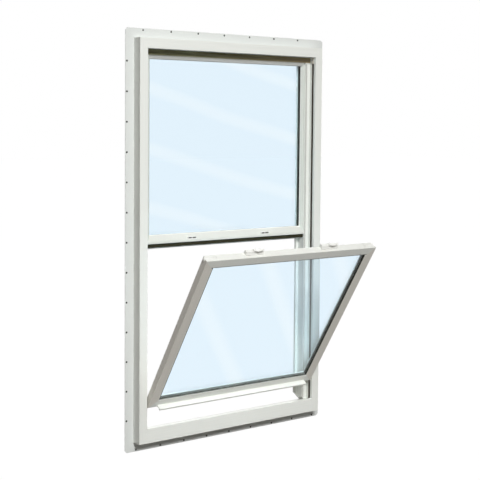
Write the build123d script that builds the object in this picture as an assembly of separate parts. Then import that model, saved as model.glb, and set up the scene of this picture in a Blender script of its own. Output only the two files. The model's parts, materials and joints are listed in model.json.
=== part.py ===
from build123d import *
import os
from math import radians, tan

# Single hung vinyl window: a fixed upper lite, and a lower sash that slides up and tilts into the room.
# Millimetres. +X is right as seen from the room, +Y points outdoors, +Z is up.
# The origin lies on the room side of the nailing fin, halfway up the strip below the sill.
# Depths run from the room face of the frame outwards, heights from the underside of the frame upwards.

# Frame
frame_width = 902.0
frame_height = 1562.0
frame_depth = 85.0
jamb_face = 35.5
head_face = 40.0
sill_face = 58.0
sill_slope = 13.5
jamb_wall = 59.0
head_wall = 61.5
stop_gap = 11.0
edge_round = 2.0
weep_width = 30.0
weep_height = 6.0
weep_cut = 3.0
weep_x = 300.0

# Nailing fin
fin_setback = 45.0
fin_width = 38.0
fin_thickness = 2.0
fin_clip = 9.0
nail_hole = 6.0
nail_edge = 7.0
side_nails = 13
side_margin = 126.0
head_nails = 7
head_margin = 108.0
head_shift = -30.0
sill_nails = 9
sill_margin = 43.0
sill_shift = 7.0

# Balance track in each jamb
pivot_depth = 19.0
slot_width = 12.0
slot_lip = 2.5
pocket_reach = 28.0
shoe_height = 60.0
shoe_play = 0.5
track_stop_height = 26.0
track_stop_proud = 1.5

# Glazing
pane = 3.0
glass_setback = 15.0
glass_bite = 10.5
bead_width = 13.5
upper_air = 16.0
sash_air = 12.0
bead_depth = 11.0
bead_land = 5.0
bead_edge = 4.0

# Fixed meeting rail
rail_rise = 1.0
bevel_height = 24.0
nose_height = 9.0
rail_land = 2.0
rail_height = 52.0
rail_leg_reach = 2.0
rail_drip = 4.0
strip_thickness = 7.0
strip_height = 14.5
head_seal = 2.5

# Lower sash
sash_gap = 5.0
sash_thickness = 26.5
sash_setback = 1.5
sash_height = 735.0
stile_face = 41.0
top_rail_face = 34.0
bottom_rail_face = 41.0
sash_leg = 5.0
sash_bevel = 3.0
sash_chamfer = 5.0
sash_heel = 8.0
interlock_reach = 6.0
interlock_inset = 5.0
interlock_drop = 9.0
interlock_wall = 3.0
sill_gap = 8.0
lift_level = 9.0
lift_thickness = 4.0
lift_reach = 22.8
lift_curl = 3.0

# Pivots, at the foot of the stiles
pivot_height = 7.0
pivot_radius = 5.0
pivot_fit = 0.05
pivot_anchor = 40.0
pivot_reach = 22.0

# Position of the sash at rest: raised and tilted into the room
rest_raise = 75.4
rest_tilt = 32.9

# Locks on the sash and keepers on the meeting rail
lock_x = 181.5
lock_shift = -8.5
housing_length = 80.0
housing_width = 20.0
housing_height = 15.0
housing_lip = 4.0
housing_slope = 5.0
housing_edge = 2.0
housing_corner = 5.0
housing_front = 12.0
recess_wall = 4.0
spindle_in = 22.0
spindle_shift = -4.0
spindle_radius = 3.0
spindle_fit = 0.05
cam_reach = 19.0
cam_width = 6.0
cam_thickness = 3.5
cam_drop = 14.5
cam_play = 0.8
cam_open = 200.0
lever_reach = 48.0
lever_width = 8.0
lever_thickness = 4.0
lever_bow = 7.0
lever_knee = 15.0
lever_bend = 8.0
lever_edge = 1.0
hub_radius = 5.5
lever_play = 0.6
keeper_x = 183.0
keeper_width = 44.0
keeper_wall = 3.0
keeper_foot = 5.0
keeper_roof = 3.0
keeper_play = 1.0

# Tilt latches in the ends of the top rail
latch_length = 50.0
latch_width = 9.4
latch_height = 12.6
latch_nose = 4.0
latch_proud = 2.0
latch_play = 0.3
latch_room = 2.0
grip_count = 4
grip_pitch = 4.0
grip_width = 1.6
grip_depth = 0.8


def depth(value):
    return value - fin_setback


def level(value):
    return value + fin_width / 2


half = frame_width / 2
base = level(0)
top = level(frame_height)
room_face = depth(0)
outer_face = depth(frame_depth)
fin_back = fin_setback + fin_thickness
stop_depth = sash_setback + sash_thickness + stop_gap
upper_glass = stop_depth + glass_setback
lip_depth = upper_glass + upper_air + 2 * pane
bead_front = upper_glass - bead_depth
closed_top = sill_face + sill_gap + sash_height


# Solids with a constant section

def upright(points, low, high):
    return extrude(Plane.XY.offset(low) * Polygon(*points, align=None), high - low, (0, 0, 1))


def across(points, left, right):
    return extrude(Plane.YZ.offset(left) * Polygon(*points, align=None), right - left, (1, 0, 0))


def plate(points, front, back):
    return extrude(Plane.XZ.offset(-front) * Polygon(*points, align=None), back - front, (0, 1, 0))


def block(x, y, z):
    centre = Pos((x[0] + x[1]) / 2, (y[0] + y[1]) / 2, (z[0] + z[1]) / 2)
    return centre * Box(x[1] - x[0], y[1] - y[0], z[1] - z[0])


def rectangle(left, right, low, high):
    return [(left, low), (right, low), (right, high), (left, high)]


def rod_across(radius, left, right, y, z):
    return Pos((left + right) / 2, y, z) * Rot(Y=90) * Cylinder(radius, right - left)


# Frame members, mitred at the corners

def member_outline(face, wall):
    lip = wall + bead_width
    return [
        (0, 0), (face, 0), (face, stop_depth), (wall, stop_depth), (wall, lip_depth),
        (lip, lip_depth), (lip, frame_depth), (0, frame_depth),
        (0, fin_back), (-fin_width, fin_back), (-fin_width, fin_setback), (0, fin_setback),
    ]


def jamb_blank():
    outline = [(half - inset, depth(d)) for inset, d in member_outline(jamb_face, jamb_wall)]
    blank = upright(outline, base - fin_width, top + fin_width)
    mouth = half - jamb_face
    pocket = slot_width + 2 * slot_lip
    back = mouth + slot_lip + pocket_reach
    slot_y = depth(pivot_depth)
    low_high = (base - fin_width, top + fin_width)
    blank -= block((mouth, mouth + slot_lip), (slot_y - slot_width / 2, slot_y + slot_width / 2), low_high)
    blank -= block((mouth + slot_lip, back), (slot_y - pocket / 2, slot_y + pocket / 2), low_high)
    return blank


def round_front(solid, axis, place):
    front = solid.edges().filter_by(axis).group_by(Axis.Y)[0]
    return fillet(front.sort_by(place)[:1], edge_round)


def jamb_cut():
    reach = jamb_wall + bead_width + fin_width
    return plate(
        [
            (half + fin_width, base - fin_width), (half + fin_width, top + fin_width),
            (half - reach, top - reach), (half - reach, base + reach),
        ],
        room_face, outer_face,
    )


def rail_cut(edge, inward):
    inner = half - jamb_face
    reach = head_wall + sill_face + bead_width
    return plate(
        [
            (-half - fin_width, edge - inward * fin_width), (half + fin_width, edge - inward * fin_width),
            (inner, edge + inward * jamb_face), (inner, edge + inward * reach),
            (-inner, edge + inward * reach), (-inner, edge + inward * jamb_face),
        ],
        room_face, outer_face,
    )


def fin_outline():
    wide = half + fin_width
    low = base - fin_width
    high = top + fin_width
    return plate(
        [
            (-wide + fin_clip, low), (wide - fin_clip, low),
            (wide, low + fin_clip), (wide, high - fin_clip),
            (wide - fin_clip, high), (-wide + fin_clip, high),
            (-wide, high - fin_clip), (-wide, low + fin_clip),
        ],
        room_face, outer_face,
    )


def nail_row(count, length, margin):
    pitch = (length + 2 * fin_width - 2 * margin) / (count - 1)
    return [(i - (count - 1) / 2) * pitch for i in range(count)]


def nail_holes(places):
    drill = Rot(X=90) * Cylinder(nail_hole / 2, frame_depth)
    return [Pos(x, depth(fin_setback), z) * drill for x, z in places]


fin_line = fin_width - nail_edge
side_levels = [level(frame_height / 2) + z for z in nail_row(side_nails, frame_height, side_margin)]
head_places = [(x + head_shift, top + fin_line) for x in nail_row(head_nails, frame_width, head_margin)]
sill_places = [(x + sill_shift, base - fin_line) for x in nail_row(sill_nails, frame_width, sill_margin)]


def make_jamb():
    jamb = round_front(jamb_blank(), Axis.Z, Axis.X)
    jamb = jamb & jamb_cut() & fin_outline()
    return jamb - nail_holes([(half + fin_line, z) for z in side_levels])


right_jamb = make_jamb()
left_jamb = mirror(right_jamb, about=Plane.YZ)


def make_head():
    outline = [(depth(d), top - inset) for inset, d in member_outline(head_face, head_wall)]
    head = across(outline, -half - fin_width, half + fin_width)
    head = round_front(head, Axis.X, Axis.Z)
    head = (head & rail_cut(top, -1) & fin_outline()) - right_jamb - left_jamb
    return head - nail_holes(head_places)


def sill_level(d):
    return sill_face - d * tan(radians(sill_slope))


def make_sill():
    outline = [
        (0, 0), (0, sill_face), (frame_depth, sill_level(frame_depth)), (frame_depth, 0),
        (fin_back, 0), (fin_back, -fin_width), (fin_setback, -fin_width), (fin_setback, 0),
    ]
    sill = across([(depth(d), level(h)) for d, h in outline], -half - fin_width, half + fin_width)
    front = sill.edges().filter_by(Axis.X).group_by(Axis.Y)[0]
    sill = fillet(front.sort_by(Axis.Z)[-1:], edge_round)
    sill = (sill & rail_cut(base, 1) & fin_outline()) - right_jamb - left_jamb
    sill = sill - nail_holes(sill_places)
    weep_level = level(sill_level(frame_depth) / 2)
    weep = Rot(X=90) * extrude(SlotOverall(weep_width, weep_height), weep_cut, both=True)
    return sill - [Pos(x, outer_face, weep_level) * weep for x in (-weep_x, weep_x)]


frame_head = make_head()
frame_sill = make_sill()


# Fixed meeting rail, with its weatherstrip

rail_half = half - jamb_wall
rail_top = closed_top + rail_rise
nose_depth = stop_depth
rail_leg_depth = upper_glass - rail_leg_reach
rail_bevel_foot = rail_top - bevel_height
rail_nose_low = rail_bevel_foot - nose_height


def make_meeting_rail():
    outline = [
        (nose_depth, rail_nose_low), (nose_depth, rail_bevel_foot), (upper_glass - rail_land, rail_top),
        (upper_glass, rail_top), (upper_glass, rail_top - bead_width), (lip_depth, rail_top - bead_width),
        (lip_depth, rail_top), (frame_depth, rail_top - rail_drip), (frame_depth, rail_top - rail_height),
        (rail_leg_depth, rail_top - rail_height), (rail_leg_depth, rail_nose_low),
    ]
    rail = across([(depth(d), level(h)) for d, h in outline], -rail_half, rail_half)
    nose = rail.edges().filter_by(Axis.X).group_by(Axis.Y)[0]
    return fillet(nose, edge_round) - right_jamb - left_jamb


meeting_rail = make_meeting_rail()
rail_strip = block(
    (-rail_half, rail_half),
    (depth(rail_leg_depth - strip_thickness), depth(rail_leg_depth)),
    (level(rail_nose_low - strip_height), level(rail_nose_low)),
)
head_strip = block(
    (-half + jamb_face, half - jamb_face),
    (depth(stop_depth - head_seal), depth(stop_depth)),
    (top - head_wall, top - head_face),
)


# Upper lite: two panes on a spacer, held by beads on the room side

def ring(outer, inner, front, back):
    frame_shape = plate(rectangle(*outer), front, back)
    return frame_shape - plate(rectangle(*inner), front, back)


def lite_edges(cover):
    side = half - jamb_wall - bead_width + cover
    return (-side, side, level(rail_top) - cover, top - head_wall - bead_width + cover)


def lite_pane(front):
    return plate(rectangle(*lite_edges(glass_bite)), depth(front), depth(front + pane))


upper_inner_pane = lite_pane(upper_glass)
upper_outer_pane = lite_pane(lip_depth - pane)
upper_spacer = ring(
    lite_edges(glass_bite), lite_edges(0), depth(upper_glass + pane), depth(lip_depth - pane)
)


def bead_outline(wall):
    inner = wall + bead_width
    return [
        (wall, bead_front), (wall + bead_land, bead_front), (inner, upper_glass - bead_edge),
        (inner, upper_glass), (wall, upper_glass),
    ]


def make_upper_beads():
    corner_x = half - jamb_wall
    corner_z = top - head_wall
    wedge = plate(
        [(-corner_x, corner_z), (corner_x, corner_z), (0, corner_z - corner_x)], room_face, outer_face
    )
    head_points = [(depth(d), top - inset) for inset, d in bead_outline(head_wall)]
    head_bead = across(head_points, -corner_x, corner_x) & wedge
    side_points = [(half - inset, depth(d)) for inset, d in bead_outline(jamb_wall)]
    side_bead = upright(side_points, level(rail_bevel_foot), corner_z) - wedge - meeting_rail
    return head_bead, mirror(side_bead, about=Plane.YZ), side_bead


upper_bead_head, upper_bead_left, upper_bead_right = make_upper_beads()


# Balance track: sliding shoes, and the stops at the top of the slots

pivot_rest = sill_face + sill_gap + pivot_height + rest_raise
shoe_side = half - jamb_face + slot_lip


def make_shoe():
    pocket = slot_width + 2 * slot_lip
    inner = shoe_side + shoe_play
    outer = shoe_side + pocket_reach - shoe_play
    middle = depth(pivot_depth)
    wide = pocket / 2 - shoe_play
    low = level(pivot_rest) - pivot_height - pivot_radius / 2
    shoe = block((inner, outer), (middle - wide, middle + wide), (low, low + shoe_height))
    shoe = chamfer(shoe.edges().filter_by(Axis.X), edge_round)
    bore = rod_across(pivot_radius + pivot_fit, inner, outer, middle, level(pivot_rest))
    return shoe - bore


right_shoe = make_shoe()
left_shoe = mirror(right_shoe, about=Plane.YZ)


def make_track_stop():
    middle = depth(pivot_depth)
    high = top - head_face
    stop = block(
        (half - jamb_face - track_stop_proud, shoe_side),
        (middle - slot_width / 2, middle + slot_width / 2),
        (high - track_stop_height, high),
    )
    return chamfer(stop.faces().sort_by(Axis.X)[0].edges().sort_by(Axis.Z)[:1], track_stop_proud)


right_track_stop = make_track_stop()
left_track_stop = mirror(right_track_stop, about=Plane.YZ)


# Lower sash, built upright: its room face is y = 0 and its underside z = 0

sash_half = half - jamb_face - sash_gap
sash_middle = pivot_depth - sash_setback
rebate = bead_width
sash_glass = sash_leg
sash_glass_back = sash_glass + 2 * pane + sash_air
sash_pose = (
    Pos(0, depth(pivot_depth), level(pivot_rest)) * Rot(X=rest_tilt) * Pos(0, -sash_middle, -pivot_height)
)


def sash_outline(face):
    return [
        (0, 0), (face - sash_bevel, 0), (face, sash_bevel), (face, sash_leg),
        (face - rebate, sash_leg), (face - rebate, sash_thickness), (0, sash_thickness),
    ]


def sash_envelope():
    outline = [
        (sash_heel, 0), (sash_thickness - sash_chamfer, 0), (sash_thickness, sash_chamfer),
        (sash_thickness, sash_height), (0, sash_height), (0, sash_chamfer),
    ]
    return across(outline, -sash_half, sash_half)


def latch_groove():
    wide = latch_width / 2 + latch_play
    return block(
        (sash_half - latch_length - latch_room, sash_half),
        (sash_middle - wide, sash_middle + wide),
        (sash_height - latch_height - latch_play, sash_height),
    )


def make_stile():
    points = [(sash_half - inset, y) for inset, y in sash_outline(stile_face)]
    reach = stile_face
    wedge = plate(
        [
            (sash_half, 0), (sash_half, sash_height),
            (sash_half - reach, sash_height - reach), (sash_half - reach, reach),
        ],
        0, sash_thickness,
    )
    stile = upright(points, 0, sash_height) & wedge & sash_envelope()
    anchor = rod_across(pivot_radius, sash_half - pivot_anchor, sash_half, sash_middle, pivot_height)
    return stile - anchor - latch_groove()


right_stile = make_stile()
left_stile = mirror(right_stile, about=Plane.YZ)
groove_pair = latch_groove() + mirror(latch_groove(), about=Plane.YZ)


lock_seats = {
    "left": Pos(-lock_x + lock_shift, 0, sash_height),
    "right": Pos(lock_x + lock_shift, 0, sash_height),
}


def cam_recess():
    room = cam_thickness + 2 * cam_play
    middle = -cam_drop - cam_thickness / 2
    reach = cam_reach + cam_play
    clear = spindle_radius + cam_play
    limit = block(
        (-reach, clear), (recess_wall - spindle_in, sash_thickness - spindle_in),
        (middle - room / 2, middle + room / 2),
    )
    bore = Pos(0, 0, middle / 2) * Cylinder(clear, -middle)
    return (Pos(0, 0, middle) * Cylinder(reach, room) & limit) + bore


def make_top_rail():
    points = [(y, sash_height - inset) for inset, y in sash_outline(top_rail_face)]
    rail = across(points, -sash_half, sash_half)
    reach = top_rail_face
    wedge = plate(
        [
            (-sash_half, sash_height), (sash_half, sash_height),
            (sash_half - reach, sash_height - reach), (-sash_half + reach, sash_height - reach),
        ],
        0, sash_thickness,
    )
    rail = (rail & wedge) - right_stile - left_stile - groove_pair
    back = sash_thickness + interlock_reach
    interlock = [
        (sash_thickness, sash_height), (back, sash_height), (back, sash_height - interlock_drop),
        (back - interlock_wall, sash_height - interlock_drop),
        (back - interlock_wall, sash_height - interlock_wall), (sash_thickness, sash_height - interlock_wall),
    ]
    reach = sash_half - interlock_inset
    rail += across(interlock, -reach, reach)
    return rail - [seat * Pos(spindle_shift, spindle_in, 0) * cam_recess() for seat in lock_seats.values()]


def make_bottom_rail():
    points = [(y, inset) for inset, y in sash_outline(bottom_rail_face)]
    rail = across(points, -sash_half, sash_half) & sash_envelope()
    reach = bottom_rail_face
    wedge = plate(
        [(-sash_half, 0), (sash_half, 0), (sash_half - reach, reach), (-sash_half + reach, reach)],
        0, sash_thickness,
    )
    pins = rod_across(pivot_radius, -sash_half, -sash_half + pivot_anchor, sash_middle, pivot_height)
    rail = (rail & wedge) - right_stile - left_stile - pins - mirror(pins, about=Plane.YZ)
    lift_half = sash_half - stile_face
    low = lift_level
    high = lift_level + lift_thickness
    outline = [
        (0, low), (-lift_reach + lift_thickness, low), (-lift_reach + lift_thickness, low - lift_curl),
        (-lift_reach, low - lift_curl), (-lift_reach, high), (0, high),
    ]
    lift = across(outline, -lift_half, lift_half)
    tip = lift.edges().filter_by(Axis.X).group_by(Axis.Y)[0]
    return rail + fillet(tip.sort_by(Axis.Z)[-1:], edge_round)


top_rail = make_top_rail()
bottom_rail = make_bottom_rail()


def sash_opening(cover):
    side = sash_half - stile_face + cover
    return (-side, side, bottom_rail_face - cover, sash_height - top_rail_face + cover)


def sash_pane(front):
    return plate(rectangle(*sash_opening(glass_bite)), front, front + pane)


sash_inner_pane = sash_pane(sash_glass)
sash_outer_pane = sash_pane(sash_glass_back - pane)
sash_spacer = ring(
    sash_opening(glass_bite), sash_opening(0), sash_glass + pane, sash_glass_back - pane
)


def make_sash_beads():
    left, right, low, high = sash_opening(rebate)
    wide = bead_width
    pieces = {
        "left": [(left, low), (left + wide, low + wide), (left + wide, high - wide), (left, high)],
        "right": [(right, low), (right, high), (right - wide, high - wide), (right - wide, low + wide)],
        "bottom": [(left, low), (right, low), (right - wide, low + wide), (left + wide, low + wide)],
        "top": [(left, high), (left + wide, high - wide), (right - wide, high - wide), (right, high)],
    }
    return {name: plate(points, sash_glass_back, sash_thickness) for name, points in pieces.items()}


sash_beads = make_sash_beads()

pivot_bar = rod_across(
    pivot_radius, sash_half - pivot_anchor, shoe_side + pivot_reach, sash_middle, pivot_height
)


# Locks: a housing on the top rail, with a lever, spindle and cam that turn in it

def make_housing():
    back = housing_front + housing_width
    wide = housing_length / 2
    outline = [
        (housing_front, 0), (back, 0), (back, housing_height),
        (housing_front + housing_slope, housing_height), (housing_front, housing_lip),
    ]
    body = across(outline, -wide, wide)
    ends = body.faces().filter_by(Axis.X).edges().filter_by(Axis.Y)
    body = chamfer(ends.group_by(Axis.Z)[-1], housing_edge)
    plan = RectangleRounded(housing_length, housing_width, housing_corner)
    body = body & Pos(0, (housing_front + back) / 2, 0) * extrude(plan, housing_height)
    bore = Cylinder(spindle_radius + spindle_fit, 2 * housing_height)
    return body - Pos(spindle_shift, spindle_in, 0) * bore


def make_lever():
    cam_shape = Rot(Z=cam_open) * (
        Pos(cam_reach / 2 - cam_width / 4, 0) * Rectangle(cam_reach - cam_width / 2, cam_width)
        + Pos(cam_reach - cam_width / 2, 0) * Circle(cam_width / 2)
        + Circle(spindle_radius)
    )
    foot = -cam_drop - cam_thickness
    cam = Pos(0, 0, foot) * extrude(cam_shape, cam_thickness)
    seat = housing_height + lever_play
    spindle = Pos(0, 0, foot) * extrude(Circle(spindle_radius), seat - foot)
    tip = lever_reach - lever_width / 2
    bow = FilletPolyline((0, 0), (lever_knee, -lever_bow), (tip, 0), radius=lever_bend)
    arm_shape = make_face(offset(bow, amount=lever_width / 2, side=Side.BOTH))
    arm = Pos(0, 0, seat) * extrude(arm_shape, lever_thickness)
    hub = Pos(0, 0, seat) * extrude(Circle(hub_radius), lever_thickness + lever_edge)
    hub = chamfer(hub.faces().sort_by(Axis.Z)[-1].edges(), lever_edge)
    return Pos(spindle_shift, spindle_in, 0) * (cam + spindle + arm + hub)


lock_housing = make_housing()
lock_lever = make_lever()


slot_low = closed_top - cam_drop - cam_thickness - keeper_play
slot_high = closed_top - cam_drop + keeper_play


def make_strike():
    wide = keeper_width / 2 - keeper_wall
    back = sash_setback + spindle_in + cam_reach + keeper_play
    return block((-wide, wide), (depth(nose_depth), depth(back)), (level(slot_low), level(slot_high)))


def make_keeper():
    wide = keeper_width / 2
    low = level(slot_low - keeper_foot)
    high = level(slot_high + keeper_roof)
    return block((-wide, wide), (depth(nose_depth), depth(upper_glass)), (low, high)) - make_strike()


keeper_places = {"left": Pos(-keeper_x, 0, 0), "right": Pos(keeper_x, 0, 0)}
keepers = {side: place * make_keeper() - meeting_rail for side, place in keeper_places.items()}
meeting_rail -= [place * make_strike() for place in keeper_places.values()]


# Tilt latches: spring bolts with a ribbed thumb pad on top

def make_latch():
    wide = latch_width / 2
    high = sash_height - latch_play
    low = sash_height - latch_height
    tail = sash_half - latch_length
    tip = sash_half + latch_proud
    shape = plate(
        [(tail, low), (tip, low), (tip, high - latch_nose), (tip - latch_nose, high), (tail, high)],
        sash_middle - wide, sash_middle + wide,
    )
    grips = [
        block(
            (tail + grip_pitch * (i + 1), tail + grip_pitch * (i + 1) + grip_width),
            (sash_middle - wide, sash_middle + wide),
            (high - grip_depth, high),
        )
        for i in range(grip_count)
    ]
    return shape - grips


right_latch = make_latch()
left_latch = mirror(right_latch, about=Plane.YZ)


nodes = {
    "frame_head": frame_head,
    "frame_sill": frame_sill,
    "frame_left_jamb": left_jamb,
    "frame_right_jamb": right_jamb,
    "meeting_rail": meeting_rail,
    "meeting_rail_weatherstrip": rail_strip,
    "head_seal": head_strip,
    "upper_inner_pane": upper_inner_pane,
    "upper_outer_pane": upper_outer_pane,
    "upper_spacer": upper_spacer,
    "upper_bead_head": upper_bead_head,
    "upper_bead_left": upper_bead_left,
    "upper_bead_right": upper_bead_right,
    "keeper_left": keepers["left"],
    "keeper_right": keepers["right"],
    "left_track_stop": left_track_stop,
    "right_track_stop": right_track_stop,
    "left_balance_shoe": left_shoe,
    "right_balance_shoe": right_shoe,
}

sash_nodes = {
    "sash_top_rail": top_rail,
    "sash_bottom_rail": bottom_rail,
    "sash_left_stile": left_stile,
    "sash_right_stile": right_stile,
    "sash_inner_pane": sash_inner_pane,
    "sash_outer_pane": sash_outer_pane,
    "sash_spacer": sash_spacer,
    "left_pivot_bar": mirror(pivot_bar, about=Plane.YZ),
    "right_pivot_bar": pivot_bar,
    "left_tilt_latch": left_latch,
    "right_tilt_latch": right_latch,
}
for side, bead in sash_beads.items():
    sash_nodes["sash_bead_" + side] = bead
for side, seat in lock_seats.items():
    sash_nodes[side + "_lock_housing"] = seat * lock_housing
    sash_nodes[side + "_lock_lever"] = seat * lock_lever

for name, piece in sash_nodes.items():
    nodes[name] = sash_pose * piece

os.makedirs("parts", exist_ok=True)
for name, piece in nodes.items():
    export_step(piece, "parts/" + name + ".step")
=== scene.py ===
import json
import math

import bpy
import numpy as np
from mathutils import Matrix, Vector


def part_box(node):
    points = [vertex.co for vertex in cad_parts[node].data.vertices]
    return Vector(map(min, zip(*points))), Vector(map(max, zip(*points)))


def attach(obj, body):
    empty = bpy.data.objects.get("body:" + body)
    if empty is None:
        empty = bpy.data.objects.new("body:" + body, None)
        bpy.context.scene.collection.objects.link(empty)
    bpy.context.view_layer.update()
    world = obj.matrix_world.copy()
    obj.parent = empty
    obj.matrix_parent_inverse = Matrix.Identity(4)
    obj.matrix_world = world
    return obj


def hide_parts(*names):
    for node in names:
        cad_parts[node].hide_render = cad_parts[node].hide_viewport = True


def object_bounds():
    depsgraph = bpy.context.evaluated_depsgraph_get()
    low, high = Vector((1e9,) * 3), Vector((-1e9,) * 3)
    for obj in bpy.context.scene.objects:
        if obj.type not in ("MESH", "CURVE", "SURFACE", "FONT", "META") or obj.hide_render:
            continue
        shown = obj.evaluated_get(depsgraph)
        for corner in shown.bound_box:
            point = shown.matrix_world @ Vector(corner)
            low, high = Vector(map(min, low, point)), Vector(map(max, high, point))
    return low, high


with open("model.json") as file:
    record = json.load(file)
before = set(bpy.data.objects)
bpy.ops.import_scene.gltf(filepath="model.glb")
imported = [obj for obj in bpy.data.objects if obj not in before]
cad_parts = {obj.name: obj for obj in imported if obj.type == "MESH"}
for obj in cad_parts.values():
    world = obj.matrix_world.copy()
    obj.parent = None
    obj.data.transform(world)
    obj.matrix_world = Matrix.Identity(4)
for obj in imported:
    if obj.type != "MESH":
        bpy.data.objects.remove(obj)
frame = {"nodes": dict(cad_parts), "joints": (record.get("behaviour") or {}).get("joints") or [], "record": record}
nodes = frame["nodes"]
joints = {joint["name"]: joint for joint in frame["joints"]}
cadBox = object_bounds()
scene = bpy.context.scene
print("stage: frame loaded,", len(nodes), "nodes")


def newMaterial(name):
    material = bpy.data.materials.new(name)
    material.use_nodes = True
    tree = material.node_tree
    tree.nodes.clear()
    out = tree.nodes.new("ShaderNodeOutputMaterial")
    shader = tree.nodes.new("ShaderNodeBsdfPrincipled")
    tree.links.new(shader.outputs["BSDF"], out.inputs["Surface"])
    return material, tree, shader


def addNode(tree, kind, **settings):
    node = tree.nodes.new(kind)
    for key, value in settings.items():
        setattr(node, key, value)
    return node


def put(node, **values):
    for key, value in values.items():
        node.inputs[key].default_value = value
    return node


# extrusion grain: noise drawn out along the bar, plus a fine speckle
grainLook = {"speckleScale": 14.0, "speckleShare": 0.35, "cloudScale": 0.035}


def makeGrainGroup():
    look = grainLook
    group = bpy.data.node_groups.new("extrusionGrain", "ShaderNodeTree")
    face = group.interface
    face.new_socket("Vector", in_out="INPUT", socket_type="NodeSocketVector")
    face.new_socket("Streaks", in_out="INPUT", socket_type="NodeSocketFloat")
    face.new_socket("Streak", in_out="OUTPUT", socket_type="NodeSocketFloat")
    face.new_socket("Cloud", in_out="OUTPUT", socket_type="NodeSocketFloat")
    face.new_socket("Height", in_out="OUTPUT", socket_type="NodeSocketFloat")
    start = addNode(group, "NodeGroupInput")
    end = addNode(group, "NodeGroupOutput")
    streak = put(addNode(group, "ShaderNodeTexNoise"), Scale=1.0, Detail=3.0, Roughness=0.6)
    speckle = put(addNode(group, "ShaderNodeTexNoise"), Scale=look["speckleScale"], Detail=2.0)
    cloud = put(addNode(group, "ShaderNodeTexNoise"), Scale=look["cloudScale"], Detail=3.0)
    mix = addNode(group, "ShaderNodeMath", operation="MULTIPLY_ADD")
    scaled = addNode(group, "ShaderNodeMath", operation="MULTIPLY")
    mix.inputs[1].default_value = look["speckleShare"]
    for texture in (streak, speckle, cloud):
        group.links.new(start.outputs["Vector"], texture.inputs["Vector"])
    group.links.new(streak.outputs["Fac"], scaled.inputs[0])
    group.links.new(start.outputs["Streaks"], scaled.inputs[1])
    group.links.new(speckle.outputs["Fac"], mix.inputs[0])
    group.links.new(scaled.outputs[0], mix.inputs[2])
    group.links.new(streak.outputs["Fac"], end.inputs["Streak"])
    group.links.new(cloud.outputs["Fac"], end.inputs["Cloud"])
    group.links.new(mix.outputs[0], end.inputs["Height"])
    return group


# settled dust and painted shading: a blotchy mask that grows on faces which look up; most materials use it for
# dust, some for painted light or painted shade on their upward faces
dustAndPaintedShadingLook = {"scale": 38.0, "detail": 6.0, "roughness": 0.65, "upwardFrom": 0.1}


def makeDustAndPaintedShadingGroup():
    look = dustAndPaintedShadingLook
    group = bpy.data.node_groups.new("settledDustAndPaintedShading", "ShaderNodeTree")
    face = group.interface
    face.new_socket("Vector", in_out="INPUT", socket_type="NodeSocketVector")
    face.new_socket("Amount", in_out="INPUT", socket_type="NodeSocketFloat")
    face.new_socket("Upright", in_out="INPUT", socket_type="NodeSocketFloat")
    face.new_socket("Mask", in_out="OUTPUT", socket_type="NodeSocketFloat")
    start = addNode(group, "NodeGroupInput")
    end = addNode(group, "NodeGroupOutput")
    noise = addNode(group, "ShaderNodeTexNoise")
    put(noise, Scale=look["scale"], Detail=look["detail"], Roughness=look["roughness"])
    place = addNode(group, "ShaderNodeNewGeometry")
    split = addNode(group, "ShaderNodeSeparateXYZ")
    upward = addNode(group, "ShaderNodeMapRange")
    put(upward, **{"From Min": look["upwardFrom"], "From Max": 1.0, "To Max": 1.0})
    product = addNode(group, "ShaderNodeMath", operation="MULTIPLY")
    amount = addNode(group, "ShaderNodeMath", operation="MULTIPLY")
    group.links.new(start.outputs["Vector"], noise.inputs["Vector"])
    group.links.new(place.outputs["Normal"], split.inputs["Vector"])
    group.links.new(split.outputs["Z"], upward.inputs["Value"])
    group.links.new(start.outputs["Upright"], upward.inputs["To Min"])
    group.links.new(noise.outputs["Fac"], product.inputs[0])
    group.links.new(upward.outputs["Result"], product.inputs[1])
    group.links.new(product.outputs[0], amount.inputs[0])
    group.links.new(start.outputs["Amount"], amount.inputs[1])
    group.links.new(amount.outputs[0], end.inputs["Mask"])
    return group


grainGroup = makeGrainGroup()
dustAndPaintedShadingGroup = makeDustAndPaintedShadingGroup()


def objectVector(tree, scale):
    coords = addNode(tree, "ShaderNodeTexCoord")
    mapping = addNode(tree, "ShaderNodeMapping")
    mapping.inputs["Scale"].default_value = scale
    tree.links.new(coords.outputs["Object"], mapping.inputs["Vector"])
    return coords.outputs["Object"], mapping.outputs["Vector"]


def blend(tree, factor, first, second):
    mix = addNode(tree, "ShaderNodeMix", data_type="RGBA")
    tree.links.new(factor, mix.inputs[0])
    for socket, value in ((mix.inputs[6], first), (mix.inputs[7], second)):
        if isinstance(value, bpy.types.NodeSocket):
            tree.links.new(value, socket)
        else:
            socket.default_value = (*value, 1.0)
    return mix.outputs[2]


def mapTo(tree, socket, low, high, fromLow=0.3, fromHigh=0.7):
    node = addNode(tree, "ShaderNodeMapRange")
    put(node, **{"From Min": fromLow, "From Max": fromHigh, "To Min": low, "To Max": high})
    tree.links.new(socket, node.inputs["Value"])
    return node.outputs["Result"]


def calculate(tree, operation, first, *others):
    node = addNode(tree, "ShaderNodeMath", operation=operation)
    for socket, value in zip(node.inputs, (first, *others)):
        if isinstance(value, bpy.types.NodeSocket):
            tree.links.new(value, socket)
        else:
            socket.default_value = value
    return node.outputs[0]


# one inside a box of object space, whose x counts to both sides of the middle, nought outside it
def boxMask(tree, vector, box):
    split = addNode(tree, "ShaderNodeSeparateXYZ")
    tree.links.new(vector, split.inputs["Vector"])
    side = calculate(tree, "ABSOLUTE", split.outputs["X"])
    inX = calculate(tree, "COMPARE", side, sum(box["x"]) / 2, (box["x"][1] - box["x"][0]) / 2)
    inY = calculate(tree, "COMPARE", split.outputs["Y"], sum(box["y"]) / 2, (box["y"][1] - box["y"][0]) / 2)
    return calculate(tree, "MULTIPLY", inX, inY)
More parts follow.
